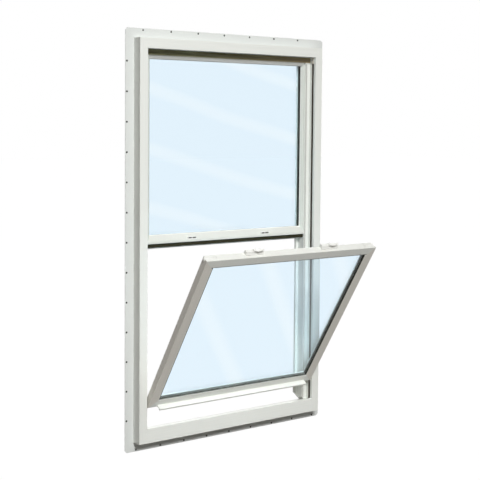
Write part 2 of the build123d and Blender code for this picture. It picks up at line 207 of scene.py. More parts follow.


# a moulded or extruded plastic: streaks, faint clouds, dust (on some materials painted light or painted shade on
# upward faces), and a slightly uneven gloss
plasticBase = {"dustAndPaintedShadingUpright": 0.15, "specular": 0.4, "bumpDepth": 0.0004, "ior": 1.5}


def makePlastic(name, ownLook):
    look = {**plasticBase, **ownLook}
    material, tree, shader = newMaterial(name)
    plain, stretched = objectVector(tree, look["stretch"])
    grain = addNode(tree, "ShaderNodeGroup", node_tree=grainGroup)
    grain.inputs["Streaks"].default_value = look["streaks"]
    tree.links.new(stretched, grain.inputs["Vector"])
    dustAndPaintedShading = addNode(tree, "ShaderNodeGroup", node_tree=dustAndPaintedShadingGroup)
    dustAndPaintedShading.inputs["Amount"].default_value = look["dustAndPaintedShading"]
    dustAndPaintedShading.inputs["Upright"].default_value = look["dustAndPaintedShadingUpright"]
    tree.links.new(plain, dustAndPaintedShading.inputs["Vector"])
    tone = blend(tree, mapTo(tree, grain.outputs["Streak"], 0.0, 1.0), look["colour"], look["shade"])
    if "farColour" in look:  # a second colour towards the right hand end
        split = addNode(tree, "ShaderNodeSeparateXYZ")
        tree.links.new(plain, split.inputs["Vector"])
        towardsEnd = mapTo(tree, split.outputs["X"], 0.0, 1.0, *look["farSpan"])
        tone = blend(tree, towardsEnd, tone, look["farColour"])
    # dust, which on some materials is painted light or painted shade on upward faces
    tone = blend(tree, dustAndPaintedShading.outputs["Mask"], tone, look["dustAndPaintedShadingColour"])
    for box in look.get("paintedShades", ()):  # painted shade on a groove or on the fin: a darker colour inside a box
        tone = blend(tree, boxMask(tree, plain, box), tone, box["colour"])
    tree.links.new(tone, shader.inputs["Base Color"])
    rough = mapTo(tree, grain.outputs["Cloud"], look["rough"][0], look["rough"][1])
    tree.links.new(rough, shader.inputs["Roughness"])
    bump = put(addNode(tree, "ShaderNodeBump"), Strength=look["bump"], Distance=look["bumpDepth"])
    tree.links.new(grain.outputs["Height"], bump.inputs["Height"])
    tree.links.new(bump.outputs["Normal"], shader.inputs["Normal"])
    shader.inputs["IOR"].default_value = look["ior"]
    shader.inputs["Specular IOR Level"].default_value = look["specular"]
    return material


vinylLook = {
    "colour": (0.795, 0.815, 0.775),
    "shade": (0.765, 0.785, 0.745),
    "dustAndPaintedShading": 0.10,
    "dustAndPaintedShadingColour": (0.62, 0.6, 0.55),
    "rough": (0.30, 0.42),
    "streaks": 1.0,
    "bump": 0.12,
}
barAlong, barAcross = 3.0, 260.0
uprightStretch = (barAcross, barAcross, barAlong)
levelStretch = (barAlong, barAcross, barAcross)
# painted shade: the nail fin, set back behind the frame, coloured darker than the frame
nailFinPaintedShade = {"x": (-1.0, 1.0), "y": (-0.0003, 0.0023), "colour": (0.68, 0.705, 0.685)}
# painted shade: the balance pockets of the jambs, dark brown where they lie in shadow
pocketPaintedShade = {"x": (0.4160, 0.4465), "y": (-0.0350, -0.0170), "colour": (0.13, 0.105, 0.08)}
vinylUpright = makePlastic("vinylUpright", {**vinylLook, "stretch": uprightStretch})
vinylLevel = makePlastic("vinylLevel", {**vinylLook, "stretch": levelStretch})
vinylFrame = makePlastic("vinylFrame", {**vinylLook, "stretch": levelStretch, "paintedShades": [nailFinPaintedShade]})
vinylJamb = makePlastic("vinylJamb", {
    **vinylLook, "stretch": uprightStretch, "paintedShades": [nailFinPaintedShade, pocketPaintedShade],
})
# sash top rail: heavy dust on upward faces, partly dust and partly painted shade that darkens them
vinylTopRailDustPaintedShade = makePlastic("vinylTopRailDustPaintedShade", {**vinylLook, "dustAndPaintedShading": 0.55, "stretch": levelStretch})
# meeting rail: painted shade, a darker vinyl colour and heavy dust that darken its upward bevel
vinylRailPaintedShade = makePlastic("vinylRailPaintedShade", {
    **vinylLook, "colour": (0.69, 0.71, 0.665), "shade": (0.66, 0.68, 0.635), "dustAndPaintedShading": 0.6,
    "dustAndPaintedShadingColour": (0.52, 0.505, 0.465), "stretch": levelStretch,
})
# sash stiles: painted shade, a warmer and darker vinyl colour for faces that lie in shade
vinylStilePaintedShade = makePlastic("vinylStilePaintedShade", {
    **vinylLook, "colour": (0.775, 0.755, 0.695), "shade": (0.74, 0.72, 0.66), "stretch": uprightStretch,
})
beadShaded = makePlastic("beadShaded", {
    **vinylLook, "colour": (0.64, 0.675, 0.63), "shade": (0.60, 0.635, 0.59), "stretch": uprightStretch,
})
# painted light: a lighter vinyl for the head bead and the upper glazing seal, which lie in the head's shadow
beadPaintedLight = makePlastic("beadPaintedLight", {
    **vinylLook, "colour": (0.93, 0.94, 0.91), "shade": (0.90, 0.91, 0.88), "dustAndPaintedShading": 0.04,
    "stretch": levelStretch,
})
hardwareWhite = makePlastic("hardwareWhite", {
    "colour": (0.82, 0.825, 0.79), "shade": (0.79, 0.795, 0.76),
    "dustAndPaintedShading": 0.06, "dustAndPaintedShadingColour": (0.6, 0.58, 0.54),
    "rough": (0.22, 0.32), "streaks": 0.3, "bump": 0.05, "stretch": (400.0, 400.0, 400.0),
})
trackStopBeige = makePlastic("trackStopBeige", {
    "colour": (0.74, 0.70, 0.62), "shade": (0.68, 0.63, 0.54),
    "dustAndPaintedShading": 0.12, "dustAndPaintedShadingColour": (0.5, 0.46, 0.4),
    "rough": (0.45, 0.6), "streaks": 0.6, "bump": 0.2, "stretch": (300.0, 300.0, 300.0),
})
shoeGrey = makePlastic("shoeGrey", {
    "colour": (0.16, 0.155, 0.15), "shade": (0.12, 0.115, 0.11),
    "dustAndPaintedShading": 0.2, "dustAndPaintedShadingColour": (0.4, 0.37, 0.33),
    "rough": (0.45, 0.6), "streaks": 0.6, "bump": 0.2, "stretch": (260.0, 260.0, 260.0),
})
# glass spacers: a dark spacer made near black on the sides as painted shade, and lighter on upward faces as
# painted light drawn through the dust mask
spacerPaintedShadeAndLight = makePlastic("spacerPaintedShadeAndLight", {
    "colour": (0.010, 0.011, 0.007), "shade": (0.020, 0.021, 0.014),
    "dustAndPaintedShading": 1.5, "dustAndPaintedShadingUpright": 0.0, "dustAndPaintedShadingColour": (0.11, 0.12, 0.105), "specular": 0.02,
    "rough": (0.6, 0.75), "streaks": 0.8, "bump": 0.25, "stretch": (500.0, 500.0, 500.0),
})
sealBlack = makePlastic("sealBlack", {
    "colour": (0.024, 0.024, 0.013), "shade": (0.040, 0.039, 0.024),
    "dustAndPaintedShading": 0.06, "dustAndPaintedShadingColour": (0.10, 0.09, 0.06), "specular": 0.05,
    "rough": (0.75, 0.9), "streaks": 0.2, "bump": 0.8, "stretch": (900.0, 900.0, 900.0),
})
# head seal: painted shade, near black under the head, and paler and browner towards the right end as painted light
sealOlivePaintedShade = makePlastic("sealOlivePaintedShade", {
    "colour": (0.13, 0.13, 0.06), "shade": (0.42, 0.41, 0.26), "farColour": (0.50, 0.39, 0.25),
    "farSpan": (-0.1, 0.55), "dustAndPaintedShading": 0.05, "dustAndPaintedShadingColour": (0.16, 0.14, 0.10), "specular": 0.05,
    "rough": (0.7, 0.85), "streaks": 1.0, "bump": 0.5, "stretch": (6.0, 420.0, 420.0),
})
pileGrey = makePlastic("pileGrey", {
    "colour": (0.62, 0.62, 0.58), "shade": (0.44, 0.44, 0.41),
    "dustAndPaintedShading": 0.1, "dustAndPaintedShadingColour": (0.4, 0.38, 0.34),
    "rough": (0.85, 0.95), "streaks": 0.6, "bump": 0.6, "stretch": (900.0, 900.0, 500.0),
})
holeShade = makePlastic("holeShade", {
    "colour": (0.006, 0.006, 0.005), "shade": (0.012, 0.012, 0.010),
    "dustAndPaintedShading": 0.02, "dustAndPaintedShadingColour": (0.1, 0.1, 0.09), "specular": 0.0,
    "rough": (0.8, 0.9), "streaks": 0.4, "bump": 0.3, "stretch": (700.0, 700.0, 700.0),
})
# sash glazing seal: painted shade, near black on the sides of the sash opening, and lighter on upward faces as
# painted light drawn through the dust mask
wedgePaintedShadeAndLight = makePlastic("wedgePaintedShadeAndLight", {
    "colour": (0.030, 0.033, 0.026), "shade": (0.045, 0.048, 0.040),
    "dustAndPaintedShading": 1.6, "dustAndPaintedShadingUpright": 0.0, "dustAndPaintedShadingColour": (0.42, 0.45, 0.43), "specular": 0.05,
    "rough": (0.7, 0.85), "streaks": 0.5, "bump": 0.3, "stretch": (400.0, 400.0, 400.0),
})
# painted shade: a dark panel at the back of each keeper slot
slotPaintedShade = makePlastic("slotPaintedShade", {
    "colour": (0.13, 0.125, 0.115), "shade": (0.08, 0.077, 0.07),
    "dustAndPaintedShading": 0.05, "dustAndPaintedShadingColour": (0.4, 0.38, 0.34),
    "rough": (0.7, 0.85), "streaks": 0.4, "bump": 0.3, "stretch": (700.0, 700.0, 700.0),
})


# zinc plated steel: fine marks along the bar
zincLook = {
    "colour": (0.56, 0.56, 0.54),
    "shade": (0.42, 0.42, 0.41),
    "rough": (0.28, 0.42),
    "stretch": (40.0, 700.0, 700.0),
}


def makeZinc():
    look = zincLook
    material, tree, shader = newMaterial("pivotZinc")
    _, stretched = objectVector(tree, look["stretch"])
    grain = addNode(tree, "ShaderNodeGroup", node_tree=grainGroup)
    tree.links.new(stretched, grain.inputs["Vector"])
    tone = blend(tree, mapTo(tree, grain.outputs["Streak"], 0.0, 1.0), look["colour"], look["shade"])
    tree.links.new(tone, shader.inputs["Base Color"])
    tree.links.new(mapTo(tree, grain.outputs["Cloud"], *look["rough"]), shader.inputs["Roughness"])
    shader.inputs["Metallic"].default_value = 1.0
    return material


pivotZinc = makeZinc()

# float glass: pale blue, with narrow soft bands of painted reflection, paler in tint; lamps pass straight through
glassLook = {
    "tint": (0.872, 0.943, 0.990),
    "paintedReflection": (0.900, 0.959, 0.995),
    "shadowTint": (0.915, 0.935, 0.93, 1.0),
    "ior": 1.3,
    "specular": 0.08,
    "upperTurn": math.radians(74.5),  # bands of the fixed lite lie 15.5 degrees off level
    "upperScale": 1.39,
    "sashTurn": math.radians(41.7),  # bands of the sash stand steeper
    "sashScale": 1.15,
    "bandFrom": 0.80,
    "wobble": 1.2,
    "wobbleDetail": 2.0,
    "wobbleScale": 0.6,
}


def makeGlass(name, turn, scale):
    look = glassLook
    material, tree, shader = newMaterial(name)
    coords = addNode(tree, "ShaderNodeTexCoord")
    mapping = addNode(tree, "ShaderNodeMapping")
    mapping.inputs["Rotation"].default_value = (0.0, turn, 0.0)
    tree.links.new(coords.outputs["Object"], mapping.inputs["Vector"])
    wave = addNode(tree, "ShaderNodeTexWave")
    put(wave, Scale=scale, Distortion=look["wobble"], Detail=look["wobbleDetail"])
    put(wave, **{"Detail Scale": look["wobbleScale"]})
    tree.links.new(mapping.outputs["Vector"], wave.inputs["Vector"])
    band = mapTo(tree, wave.outputs["Fac"], 0.0, 1.0, look["bandFrom"], 1.0)
    tone = blend(tree, band, look["tint"], look["paintedReflection"])
    tree.links.new(tone, shader.inputs["Base Color"])
    shader.inputs["Roughness"].default_value = 0.0
    shader.inputs["Transmission Weight"].default_value = 1.0
    shader.inputs["IOR"].default_value = look["ior"]
    shader.inputs["Specular IOR Level"].default_value = look["specular"]
    path = addNode(tree, "ShaderNodeLightPath")
    clear = addNode(tree, "ShaderNodeBsdfTransparent")
    clear.inputs["Color"].default_value = look["shadowTint"]
    mix = addNode(tree, "ShaderNodeMixShader")
    out = next(n for n in tree.nodes if n.type == "OUTPUT_MATERIAL")
    tree.links.new(path.outputs["Is Shadow Ray"], mix.inputs["Fac"])
    tree.links.new(shader.outputs["BSDF"], mix.inputs[1])
    tree.links.new(clear.outputs["BSDF"], mix.inputs[2])
    tree.links.new(mix.outputs["Shader"], out.inputs["Surface"])
    return material


upperGlass = makeGlass("upperGlass", glassLook["upperTurn"], glassLook["upperScale"])
sashGlass = makeGlass("sashGlass", glassLook["sashTurn"], glassLook["sashScale"])

levelBars = ("sash_bottom_rail", "sash_bead_top", "sash_bead_bottom")
ownFinish = {
    **{name: vinylLevel for name in levelBars},
    "sash_top_rail": vinylTopRailDustPaintedShade,
    "frame_head": vinylFrame,
    "frame_sill": vinylFrame,
    "frame_left_jamb": vinylJamb,
    "frame_right_jamb": vinylJamb,
    "meeting_rail": vinylRailPaintedShade,
    "upper_bead_head": beadPaintedLight,
    "upper_bead_left": beadShaded,
    "upper_bead_right": beadShaded,
    "sash_left_stile": vinylStilePaintedShade,
    "sash_right_stile": vinylStilePaintedShade,
    "head_seal": sealOlivePaintedShade,
    "sash_inner_pane": sashGlass,
    "sash_outer_pane": sashGlass,
}
slotFinish = {
    "vinyl": vinylUpright,
    "glass": upperGlass,
    "spacer": spacerPaintedShadeAndLight,
    "seal": sealBlack,
    "hardware": hardwareWhite,
    "track_stop": trackStopBeige,
    "shoe": shoeGrey,
    "pivot": pivotZinc,
}


def dressNodes():
    for part in frame["record"]["subparts"]:
        name = part["node"]
        mesh = nodes[name].data
        mesh.materials.clear()
        mesh.materials.append(ownFinish.get(name, slotFinish[part["material_slot"]]))


dressNodes()
print("stage: nodes dressed")


# faces of a stack of closed loops: quads between neighbouring loops, and a cap on each end,
# or, for a ring, quads from the last loop back to the first
def loopFaces(rows, columns, ring):
    row = np.arange(rows if ring else rows - 1)[:, None]
    column = np.arange(columns)[None, :]
    after = (row + 1) % rows
    beside = (column + 1) % columns
    quads = np.stack([row * columns + column, row * columns + beside,
                      after * columns + beside, after * columns + column], -1).reshape(-1, 4)
    caps = [] if ring else [np.arange(columns)[::-1], np.arange(columns) + (rows - 1) * columns]
    return quads, caps


# six times the volume inside the faces, which is negative where they look inwards
def signedVolume(points, quads, caps):
    first, second, third, fourth = (points[quads[:, i]] for i in range(4))
    total = np.einsum("ij,ij->", first, np.cross(second, third))
    total += np.einsum("ij,ij->", first, np.cross(third, fourth))
    for cap in caps:
        total += np.einsum("j,ij->", points[cap[0]], np.cross(points[cap[1:-1]], points[cap[2:]]))
    return total


# joins closed solids, each an array of loops (loops, points, xyz), into one piece on a body
def buildPiece(name, solids, material, body, replaced=(), ring=False, sharp=35.0):
    allPoints, allFaces, start = [], [], 0
    for loops in solids:
        rows, columns = loops.shape[:2]
        points = loops.reshape(-1, 3)
        quads, caps = loopFaces(rows, columns, ring)
        middle = points - points.mean(0)
        faces = [*quads, *caps]
        if signedVolume(middle, quads, caps) < 0:
            faces = [face[::-1] for face in faces]
        allPoints.append(points)
        allFaces += [(face + start).tolist() for face in faces]
        start += len(points)
    mesh = bpy.data.meshes.new(name)
    mesh.from_pydata(np.concatenate(allPoints).tolist(), [], allFaces)
    mesh.materials.append(material)
    mesh.shade_smooth()
    mesh.set_sharp_from_angle(angle=math.radians(sharp))
    piece = bpy.data.objects.new(name, mesh)
    scene.collection.objects.link(piece)
    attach(piece, body)
    if replaced:
        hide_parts(*replaced)
    return piece


# points of a surface, from coordinates that run over its rows, its columns or both
def gridPoints(x, y, z):
    return np.stack(np.broadcast_arrays(x, y, z), -1)


# a point of the frame from x, the depth behind its room face and the height above its underside
frameOrigin = {"depth": 0.045, "height": 0.019}


def framePoints(x, depth, height):
    return gridPoints(x, depth - frameOrigin["depth"], height + frameOrigin["height"])


# a point of the tilted sash from x, the depth behind its room face and the height above its underside,
# turned about the pivots
sashOrigin = {
    "pivot": joints["sash_tilt"]["pos_m"],
    "tilt": math.radians(-joints["sash_tilt"]["range_deg"][0]),
    "pivotIn": 0.0175,
    "pivotUp": 0.007,
}


def sashPoints(x, depth, height):
    turn = sashOrigin["tilt"]
    y = depth - sashOrigin["pivotIn"]
    z = height - sashOrigin["pivotUp"]
    return gridPoints(
        x,
        sashOrigin["pivot"][1] + y * math.cos(turn) - z * math.sin(turn),
        sashOrigin["pivot"][2] + y * math.sin(turn) + z * math.cos(turn),
    )


# a rounded rectangle: a superellipse, x = a cos^(2/n), y = b sin^(2/n),
# with points evenly along its outline
def softRectangle(halfLength, halfWidth, power, count, fineSteps=6001):
    angle = np.linspace(0.0, 2 * math.pi, fineSteps)
    x = halfLength * np.sign(np.cos(angle)) * np.abs(np.cos(angle)) ** (2 / power)
    y = halfWidth * np.sign(np.sin(angle)) * np.abs(np.sin(angle)) ** (2 / power)
    along = np.concatenate([[0.0], np.cumsum(np.hypot(np.diff(x), np.diff(y)))])
    spot = (np.arange(count) + 0.5) / count * along[-1]
    return np.interp(spot, along, x), np.interp(spot, along, y)


def smoothStep(value):
    value = np.clip(value, 0.0, 1.0)
    return value * value * (3 - 2 * value)


# nail holes of the fin: a low burr round each one, half an ellipse in section, and a disc inside; burr and disc
# are painted shade in near black
nailLook = {
    "radius": 0.003,
    "edge": 0.007,
    "burrWidth": 0.0008,
    "burrHeight": 0.00025,
    "burrSunk": 0.0002,
    "burrSteps": 7,
    "shadeDepth": (0.0005, 0.0016),
    "segments": 20,
    "sides": (13, 0.126),
    "head": (7, 0.108, -0.030),
    "sill": (9, 0.043, 0.007),
}


def nailRow(count, low, high, margin):
    return np.linspace(low + margin, high - margin, count)


def nailPlaces():
    look = nailLook
    (left, _, low), (right, _, high) = cadBox
    side = nailRow(look["sides"][0], low, high, look["sides"][1])
    head = nailRow(look["head"][0], left, right, look["head"][1]) + look["head"][2]
    sill = nailRow(look["sill"][0], left, right, look["sill"][1]) + look["sill"][2]
    rows = [
        (np.full_like(side, left + look["edge"]), side), (np.full_like(side, right - look["edge"]), side),
        (head, np.full_like(head, high - look["edge"])), (sill, np.full_like(sill, low + look["edge"])),
    ]
    return np.concatenate([np.stack(row, -1) for row in rows])


# circles about each hole's axis: radius and depth by row
def nailLoops(places, radius, depth):
    angle = np.arange(nailLook["segments"]) * 2 * math.pi / nailLook["segments"]
    radius, depth = np.asarray(radius)[:, None], np.asarray(depth)[:, None]
    return [gridPoints(x + radius * np.cos(angle), depth, z + radius * np.sin(angle)) for x, z in places]


def makeNailHoles():
    look = nailLook
    places = nailPlaces()
    turn = np.linspace(0.0, math.pi, look["burrSteps"])
    burrRadius = look["radius"] + look["burrWidth"] * (1 - np.cos(turn)) / 2
    burrDepth = -look["burrHeight"] * np.sin(turn)
    burrRadius = np.append(burrRadius, [look["radius"] + look["burrWidth"], look["radius"]])
    burrDepth = np.append(burrDepth, [look["burrSunk"]] * 2)
    burrs = nailLoops(places, burrRadius, burrDepth)
    buildPiece("nailHoleBurrs", burrs, holeShade, "frame", ring=True)
    shade = nailLoops(places, [look["radius"]] * 2, look["shadeDepth"])
    buildPiece("nailHoleShade", shade, holeShade, "frame")


makeNailHoles()
print("stage: nail holes")

# welded corners: a low half round seam along each mitre
weldLook = {"width": 0.0011, "height": 0.00022, "sunk": 0.0002, "steps": 9}


# the seam from one point to another: a half ellipse across its line, standing on a plane
def weldLoops(start, end, outward):
    look = weldLook
    start, end, outward = (np.asarray(v, float) for v in (start, end, outward))
    along = (end - start) / np.linalg.norm(end - start)
    across = np.cross(along, outward)
    turn = np.linspace(0.0, math.pi, look["steps"])
    reach = np.append(np.cos(turn), [-1.0, 1.0]) * look["width"] / 2
    rise = np.append(np.sin(turn) * look["height"], [-look["sunk"]] * 2)
    section = reach[:, None] * across + rise[:, None] * outward
    return np.stack([start + section, end + section])


frameWelds = {"half": 0.451, "mitre": 0.0355, "high": 1.562, "headFace": 0.040, "sillFace": 0.058}
sashWelds = {
    "half": 0.4105,
    "low": 0.005,
    "high": 0.735,
    "topMitre": 0.034,
    "lowMitre": 0.041,
    "short": 0.003,
}


def makeWelds():
    look = frameWelds
    room = (0.0, -1.0, 0.0)
    solids = []
    for side in (-1, 1):
        inner = side * (look["half"] - look["mitre"])
        for edge, step, face in ((0.0, 1, look["sillFace"]), (look["high"], -1, look["headFace"])):
            corner = framePoints(side * look["half"], 0.0, edge)
            knee = framePoints(inner, 0.0, edge + step * look["mitre"])
            solids.append(weldLoops(corner, knee, room))
            solids.append(weldLoops(knee, framePoints(inner, 0.0, edge + step * face), room))
    buildPiece("frameWeldSeams", solids, vinylUpright, "frame")
    look = sashWelds
    outward = sashPoints(0.0, -1.0, 0.0) - sashPoints(0.0, 0.0, 0.0)
    solids = []
    for side in (-1, 1):
        for edge, step, mitre in ((look["low"], 1, look["lowMitre"]), (look["high"], -1, look["topMitre"])):
            gone = edge if step > 0 else 0.0
            reach = mitre - look["short"]
            corner = sashPoints(side * (look["half"] - gone), 0.0, edge)
            inside = sashPoints(side * (look["half"] - reach), 0.0, edge - step * gone + step * reach)
            solids.append(weldLoops(corner, inside, outward))
    buildPiece("sashWeldSeams", solids, vinylUpright, "sash")


makeWelds()
print("stage: weld seams")

# glazing seal: a small quarter round carried round each opening, in the corner of bead and glass
sealLook = {"sunk": 0.0004, "steps": 6}
upperOpening = {"half": 0.3785, "low": 0.802, "high": 1.487, "depth": 0.054, "radius": 0.0016}
sashOpening = {"half": 0.3695, "low": 0.041, "high": 0.701, "depth": 0.005, "radius": 0.0040}


# each point of the profile moves in from the opening's edge by its inset, and forward by its depth
def sealLoops(opening, place):
    look = sealLook
    radius = opening["radius"]
    turn = np.linspace(0.0, math.pi / 2, look["steps"])
    inset = np.append(radius * (1 - np.sin(turn)), [-look["sunk"], -look["sunk"], radius])
    proud = np.append(radius * (1 - np.cos(turn)), [radius, -look["sunk"], -look["sunk"]])
    middle = (opening["low"] + opening["high"]) / 2
    tall = (opening["high"] - opening["low"]) / 2
    corners = np.array([(1, 1), (-1, 1), (-1, -1), (1, -1)])
    x = corners[:, :1] * (opening["half"] - inset)
    height = middle + corners[:, 1:] * (tall - inset)
    return place(x, opening["depth"] - proud, height)


def makeGlazingSeals():
    upperSeal = sealLoops(upperOpening, framePoints)
    # the upper seal carries the painted light of the head bead
    buildPiece("upperGlazingSeal", [upperSeal], beadPaintedLight, "frame", ring=True)
    sashSeal = sealLoops(sashOpening, sashPoints)
    # the sash seal carries painted shade on its sides and painted light on its upward faces
    buildPiece("sashGlazingSeal", [sashSeal], wedgePaintedShadeAndLight, "sash", ring=True)


makeGlazingSeals()
print("stage: glazing seals")

# pile strips on the stops of the jambs: a ragged crest on a narrow foot, drawn down the jamb
pileLook = {
    "x": 0.3965,
    "foot": 0.0392,
    "crest": 0.0362,
    "ragged": 0.0007,
    "halfWidth": 0.0030,
    "reach": (-1.0, -0.95, -0.6, -0.2, 0.2, 0.6, 0.95, 1.0),
    "rise": (0.0, 0.55, 0.85, 1.0, 1.0, 0.85, 0.55, 0.0),
    "sideways": 0.4,
    "low": 0.055,
    "high": 1.494,
    "rows": 420,
    "seed": 7,
}


def makePile():
    look = pileLook
    dice = np.random.default_rng(look["seed"])
    height = np.linspace(look["low"], look["high"], look["rows"])[:, None]
    reach = np.array(look["reach"]) * look["halfWidth"]
    rise = np.array(look["rise"])
    solids = []
    for side in (-1, 1):
        shag = dice.normal(0.0, look["ragged"], (look["rows"], len(reach))) * rise
        x = side * look["x"] + reach + look["sideways"] * shag
        depth = look["foot"] - (look["foot"] - look["crest"]) * rise + shag
        solids.append(framePoints(x, depth, height))
    buildPiece("jambPileStrips", solids, pileGrey, "frame", sharp=60.0)


makePile()
print("stage: pile strips")


# lock frame: the spindle's foot on the top rail, x along the rail, y outdoors, z off the rail
def lockPoints(joint, x, y, z):
    turn = sashOrigin["tilt"]
    foot = joints[joint]["pos_m"]
    return gridPoints(
        foot[0] + x,
        foot[1] + y * math.cos(turn) - z * math.sin(turn),
        foot[2] + y * math.sin(turn) + z * math.cos(turn),
    )


# lock case: a rounded rectangle carried up, drawn in over a quarter round and closed on top;
# its height falls away towards the room
caseLook = {
    "middle": 0.004,
    "halfLength": 0.040,
    "halfWidth": 0.010,
    "power": 18.0,
    "height": 0.015,
    "lip": 0.0045,
    "slope": 0.0065,
    "edge": 0.0012,
    "edgeSteps": 7,
    "wallRise": (0.0, 0.4),
    "shoulder": 0.74,
    "topInset": (0.0034, 0.0096),
    "topSteps": 8,
    "points": 240,
    "collarRadius": 0.0084,
    "collarInset": (0.0, 0.0, 0.0003, 0.0009),
    "collarHeight": 0.0008,
    "collarRise": (-0.002, 0.6, 0.9, 1.0),
    "collarPoints": 48,
}


def makeCase(side):
    look = caseLook
    joint = side + "_lock_turn"
    turn = np.linspace(0.0, math.pi / 2, look["edgeSteps"])
    top = np.linspace(*look["topInset"], look["topSteps"])
    inset = np.concatenate([[0.0, 0.0], look["edge"] * (1 - np.cos(turn)), top])
    rounded = look["shoulder"] + (1 - look["shoulder"]) * np.sin(turn)
    share = np.concatenate([look["wallRise"], rounded, np.ones(look["topSteps"])])
    x, y = softRectangle(look["halfLength"], look["halfWidth"], look["power"], look["points"])
    x = x * (1 - inset[:, None] / look["halfLength"])
    y = y * (1 - inset[:, None] / look["halfWidth"])
    rise = smoothStep((y + look["halfWidth"]) / look["slope"])
    high = look["lip"] + (look["height"] - look["lip"]) * rise
    body = lockPoints(joint, look["middle"] + x, y, share[:, None] * high)
    angle = np.arange(look["collarPoints"]) * 2 * math.pi / look["collarPoints"]
    radius = look["collarRadius"] - np.array(look["collarInset"])[:, None]
    level = look["height"] + np.array(look["collarRise"])[:, None] * look["collarHeight"]
    collar = lockPoints(joint, radius * np.cos(angle), radius * np.sin(angle), level)
    buildPiece(side + "LockCase", [body, collar], hardwareWhite, "sash",
               [side + "_lock_housing"])


# lock handle: a flattened oval carried along a bowed line, with a domed hub, a spindle and its cam;
# the line is a cubic curve from the first point to the last, drawn towards the two between
handleLook = {
    "bow": ((0.0, 0.0), (0.009, -0.0115), (0.021, -0.0095), (0.0445, 0.0005)),
    "seat": 0.0160,
    "halfThickness": 0.0021,
    "halfWidth": (0.0052, 0.0040, 0.0046),
    "waistBy": 0.35,
    "gripFrom": 0.45,
    "gripSpan": 0.3,
    "lift": 0.0022,
    "liftFrom": 0.3,
    "tipFrom": 0.90,
    "tipEnd": 0.985,
    "hubRadius": 0.0056,
    "hubHeight": 0.0062,
    "domeEnd": 0.97,
    "domeRound": (0.28, 0.3),
    "domeClose": (0.4, 0.1),
    "spindleRadius": 0.0030,
    "camReach": 0.019,
    "camHalfWidth": 0.003,
    "camLevels": (-0.018, -0.0145),
    "camEdge": 0.0004,
    "camAngle": math.radians(200.0),
    "armRows": 40,
    "armPoints": 24,
    "armPower": 3.0,
    "hubPoints": 40,
    "hubSteps": 8,
}


def handleArm():
    look = handleLook
    t = np.linspace(0.0, 1.0, look["armRows"])[:, None]
    a, b, c, d = (np.array(p) for p in look["bow"])
    line = (1 - t) ** 3 * a + 3 * t * (1 - t) ** 2 * b + 3 * t ** 2 * (1 - t) * c + t ** 3 * d
    along = np.gradient(line, axis=0)
    along /= np.linalg.norm(along, axis=1, keepdims=True)
    across = np.stack([-along[:, 1], along[:, 0]], -1)
    hub, waist, grip = look["halfWidth"]
    wide = hub + (waist - hub) * smoothStep(t / look["waistBy"])
    wide = wide + (grip - waist) * smoothStep((t - look["gripFrom"]) / look["gripSpan"])
    tip = np.clip((t - look["tipFrom"]) / (1 - look["tipFrom"]), 0.0, look["tipEnd"])
    close = np.sqrt(1 - tip ** 2)
    out, up = softRectangle(1.0, 1.0, look["armPower"], look["armPoints"])
    x = line[:, :1] + across[:, :1] * wide * close * out
    y = line[:, 1:] + across[:, 1:] * wide * close * out
    lift = look["lift"] * smoothStep((t - look["liftFrom"]) / (1 - look["liftFrom"]))
    z = look["seat"] + look["halfThickness"] * (1 + close * up) + lift
    return x, y, z


def makeHandle(side):
    look = handleLook
    joint = side + "_lock_turn"
    angle = np.arange(look["hubPoints"]) * 2 * math.pi / look["hubPoints"]
    acrossX, acrossY = np.cos(angle), np.sin(angle)
    dome = np.linspace(0.0, look["domeEnd"], look["hubSteps"]) * math.pi / 2
    inward, upward = look["domeRound"]
    hubShare = np.concatenate([[1.0], 1 - inward + inward * np.cos(dome), look["domeClose"]])
    hubRise = np.concatenate([[0.0], 1 - upward + upward * np.sin(dome), [1.0, 1.0]])
    hubRadius = look["hubRadius"] * hubShare[:, None]
    hubLevel = look["seat"] + look["hubHeight"] * hubRise[:, None]
    hub = lockPoints(joint, hubRadius * acrossX, hubRadius * acrossY, hubLevel)
    low, high = look["camLevels"]
    level = np.array([low, look["seat"]])[:, None]
    spindle = lockPoints(joint, look["spindleRadius"] * acrossX, look["spindleRadius"] * acrossY, level)
    edge = look["camEdge"]
    half = look["camHalfWidth"] - np.array([edge, 0.0, 0.0, edge])[:, None]
    x = np.where(acrossX > 0, look["camReach"] - look["camHalfWidth"], 0.0) + half * acrossX
    y = half * acrossY
    level = np.array([low, low + edge, high - edge, high])[:, None]
    turn = look["camAngle"]
    turnedX = x * math.cos(turn) - y * math.sin(turn)
    turnedY = x * math.sin(turn) + y * math.cos(turn)
    cam = lockPoints(joint, turnedX, turnedY, level)
    arm = lockPoints(joint, *handleArm())
    buildPiece(side + "LockHandle", [arm, hub, spindle, cam], hardwareWhite, side + "_lever",
               [side + "_lock_lever"])


for side in ("left", "right"):
    makeCase(side)
    makeHandle(side)
print("stage: locks")

# keeper: a rounded frame about a slot, carried from its outer wall over the lip and into the slot
keeperLook = {
    "power": 9.0,
    "wall": 0.003,
    "roof": 0.003,
    "slotHeight": 0.0055,
    "foot": 0.0009,
    "lip": 0.0009,
    "lipSteps": 6,
    "depth": 0.0046,
    "skirt": 0.002,
    "points": 96,
    "webHalf": 0.0013,
    "webTop": (0.0012, 0.0018),
    "webEdge": 0.0004,
    "webOver": 0.0005,
    "shadeDepth": (0.0041, 0.0044),
}


